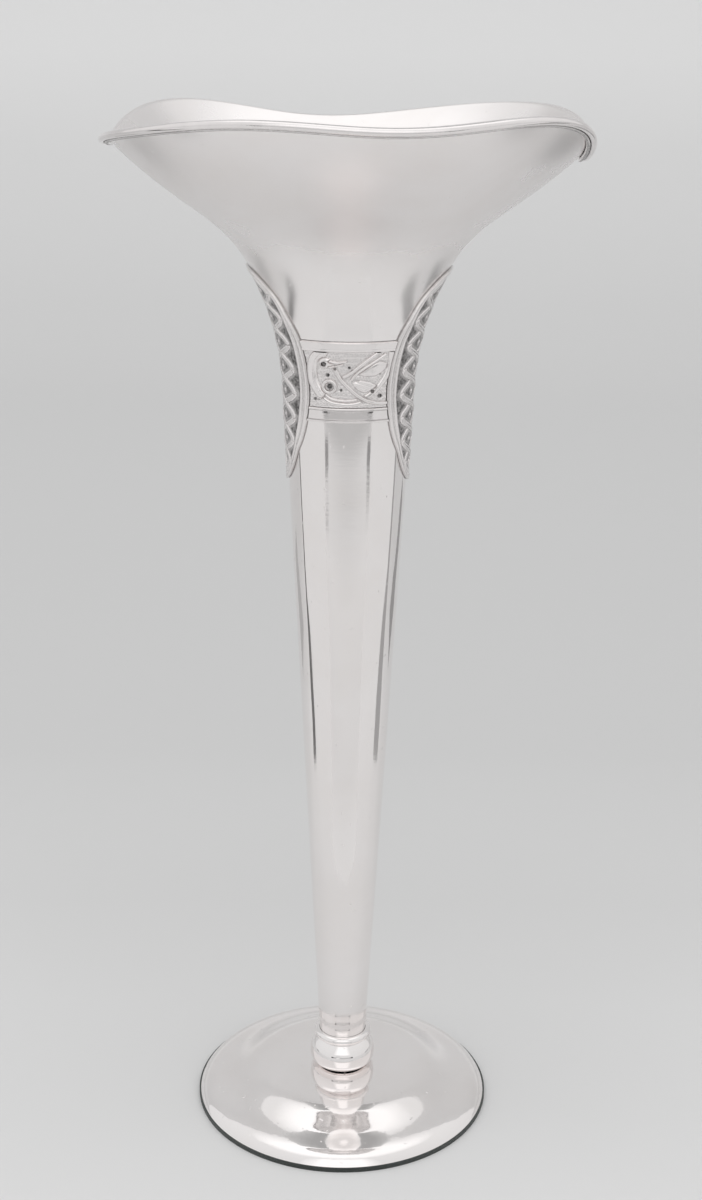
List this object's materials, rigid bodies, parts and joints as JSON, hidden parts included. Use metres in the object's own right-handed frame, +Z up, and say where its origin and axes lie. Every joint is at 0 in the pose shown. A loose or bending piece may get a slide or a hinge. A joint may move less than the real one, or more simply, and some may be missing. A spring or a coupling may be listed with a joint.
{
  "type": "trumpet vase",
  "caption": "Tall silver trumpet vase: tapering stem, flared wavy reeded mouth, applied interlace ornament round the neck, small knop and a weighted round foot with a felt base",
  "frame": {"origin": "centre of the felt's underside, on the vase's axis, where the vase stands", "axes": "X to the right across the front, Y towards the back, Z up along the vase's axis"},
  "size_m": [0.1112, 0.1185, 0.2534],
  "materials": {
    "polished_silver": "hand-polished silver with fine scratches",
    "relief_silver": "polished relief on a matted, oxidised ground",
    "foot_pitch": "dull cast filling",
    "grey_board": "plain board",
    "dark_felt": "short pile felt"
  },
  "bodies": {
    "root": {"trumpet_body": "polished_silver", "rim_wire": "polished_silver", "stem_floor": "polished_silver", "stem_collar": "polished_silver", "knop": "polished_silver", "foot": "polished_silver", "left_border": "polished_silver", "right_border": "polished_silver", "front_upper_strip": "polished_silver", "front_lower_strip": "polished_silver", "back_upper_strip": "polished_silver", "back_lower_strip": "polished_silver", "front_panel": "relief_silver", "back_panel": "relief_silver", "left_panel": "relief_silver", "right_panel": "relief_silver", "foot_filling": "foot_pitch", "base_board": "grey_board", "felt_pad": "dark_felt"}
  },
  "joints": []
}
